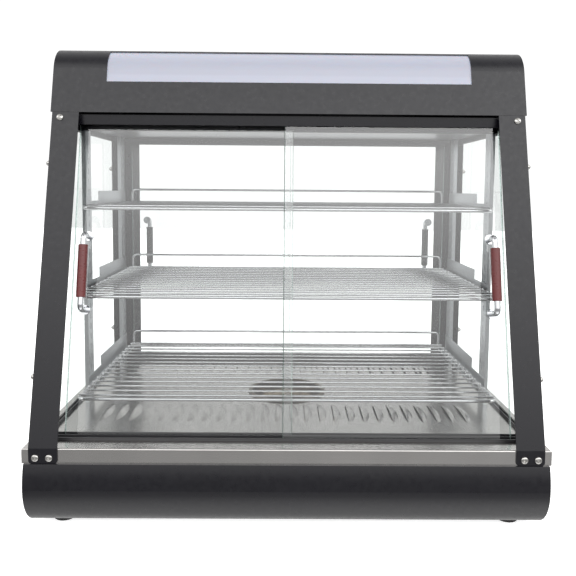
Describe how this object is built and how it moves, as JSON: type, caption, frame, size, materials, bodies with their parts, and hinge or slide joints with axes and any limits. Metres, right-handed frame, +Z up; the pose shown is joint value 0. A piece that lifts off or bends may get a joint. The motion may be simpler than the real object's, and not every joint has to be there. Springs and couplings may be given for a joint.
{
  "type": "hot food display case",
  "caption": "Countertop heated display cabinet with slanted sliding glass doors, wire shelves, a humidity pan and a lit canopy.",
  "frame": {"origin": "centre of the footprint at table level, where the feet rest", "axes": "+Z up, -Y towards the slanted front doors, +X to the viewer's right in front of the case"},
  "size_m": [0.66, 0.484, 0.632],
  "materials": {
    "black_paint": "satin powder coat",
    "track_black": "satin black",
    "stainless_worktop": "brushed",
    "stainless_ceiling": "brushed",
    "stainless_pan": "pressed and polished",
    "plated_steel": "zinc plated",
    "chromed_wire": "bright chrome",
    "chrome_handle": "polished chrome",
    "screw_steel": "nickel plated",
    "grip_brown": "semi-gloss reddish brown",
    "door_glass": "clear float glass, polished green edges",
    "side_glass": "clear float glass",
    "opal_diffuser": "opal acrylic",
    "lamp_tube": "frosted",
    "heater_sheath": "heat tinted",
    "rubber_foot": "matt black",
    "black_plastic": "fine texture",
    "rocker_red": "glossy red",
    "rocker_green": "glossy green",
    "lamp_amber": "translucent amber",
    "dial_metal": "polished bezel"
  },
  "bodies": {
    "case": {"base_cover": "black_paint", "base_end_left": "black_paint", "base_end_right": "black_paint", "base_back_panel": "black_paint", "front_leg_left": "black_paint", "front_leg_right": "black_paint", "rear_post_left": "black_paint", "rear_post_right": "black_paint", "rear_top_rail": "black_paint", "canopy_cover": "black_paint", "canopy_end_left": "black_paint", "canopy_end_right": "black_paint", "front_upper_track": "black_paint", "front_lower_track": "track_black", "rear_upper_track": "track_black", "rear_lower_track": "track_black", "side_glass_channels": "track_black", "worktop_tray": "stainless_worktop", "canopy_ceiling": "stainless_ceiling", "front_standards": "plated_steel", "rear_standards": "plated_steel", "lower_brackets": "plated_steel", "middle_brackets": "plated_steel", "upper_brackets": "plated_steel", "heater_clips": "plated_steel", "frame_screws": "screw_steel", "side_glass_left": "side_glass", "side_glass_right": "side_glass", "light_diffuser": "opal_diffuser", "led_tube": "lamp_tube", "heating_element": "heater_sheath", "feet": "rubber_foot", "thermostat_body": "black_plastic", "switch_housings": "black_plastic", "cable_gland": "black_plastic", "tube_holders": "black_plastic", "indicator_lamp": "lamp_amber", "thermometer": "dial_metal"},
    "front_left_door": {"front_left_glass": "door_glass", "front_left_handle_ends": "chrome_handle", "front_left_grip": "grip_brown"},
    "front_right_door": {"front_right_glass": "door_glass", "front_right_handle_ends": "chrome_handle", "front_right_grip": "grip_brown"},
    "rear_left_door": {"rear_left_glass": "door_glass", "rear_left_handle_ends": "chrome_handle", "rear_left_grip": "grip_brown"},
    "rear_right_door": {"rear_right_glass": "door_glass", "rear_right_handle_ends": "chrome_handle", "rear_right_grip": "grip_brown"},
    "lower_shelf": {"lower_shelf_deck": "chromed_wire", "lower_shelf_rail": "chromed_wire"},
    "middle_shelf": {"middle_shelf_deck": "chromed_wire", "middle_shelf_rail": "chromed_wire"},
    "upper_shelf": {"upper_shelf_deck": "chromed_wire", "upper_shelf_rail": "chromed_wire"},
    "water_pan": {"water_pan": "stainless_pan"},
    "thermostat_knob": {"thermostat_knob": "black_plastic"},
    "power_rocker": {"power_rocker": "rocker_red"},
    "light_rocker": {"light_rocker": "rocker_green"}
  },
  "joints": [
    {"name": "front_left_door_slide", "type": "slide", "parent": "case", "child": "front_left_door", "axis": [1, 0, 0], "range_m": [0, 0.25]},
    {"name": "front_right_door_slide", "type": "slide", "parent": "case", "child": "front_right_door", "axis": [1, 0, 0], "range_m": [-0.25, 0]},
    {"name": "rear_left_door_slide", "type": "slide", "parent": "case", "child": "rear_left_door", "axis": [1, 0, 0], "range_m": [0, 0.25]},
    {"name": "rear_right_door_slide", "type": "slide", "parent": "case", "child": "rear_right_door", "axis": [1, 0, 0], "range_m": [-0.25, 0]},
    {"name": "lower_shelf_lift", "type": "slide", "parent": "case", "child": "lower_shelf", "axis": [0, 0, 1], "range_m": [0, 0.02]},
    {"name": "middle_shelf_lift", "type": "slide", "parent": "case", "child": "middle_shelf", "axis": [0, 0, 1], "range_m": [0, 0.02]},
    {"name": "upper_shelf_lift", "type": "slide", "parent": "case", "child": "upper_shelf", "axis": [0, 0, 1], "range_m": [0, 0.02]},
    {"name": "water_pan_lift", "type": "slide", "parent": "case", "child": "water_pan", "axis": [0, 0, 1], "range_m": [0, 0.022]},
    {"name": "thermostat_turn", "type": "hinge", "parent": "case", "child": "thermostat_knob", "pos_m": [0, 0.23, 0.06], "axis": [0, -1, 0], "range_deg": [0, 270]},
    {"name": "power_rock", "type": "hinge", "parent": "case", "child": "power_rocker", "pos_m": [0.15, 0.214, 0.06], "axis": [1, 0, 0], "range_deg": [-12, 0]},
    {"name": "light_rock", "type": "hinge", "parent": "case", "child": "light_rocker", "pos_m": [0.105, 0.214, 0.06], "axis": [1, 0, 0], "range_deg": [-12, 0]}
  ]
}
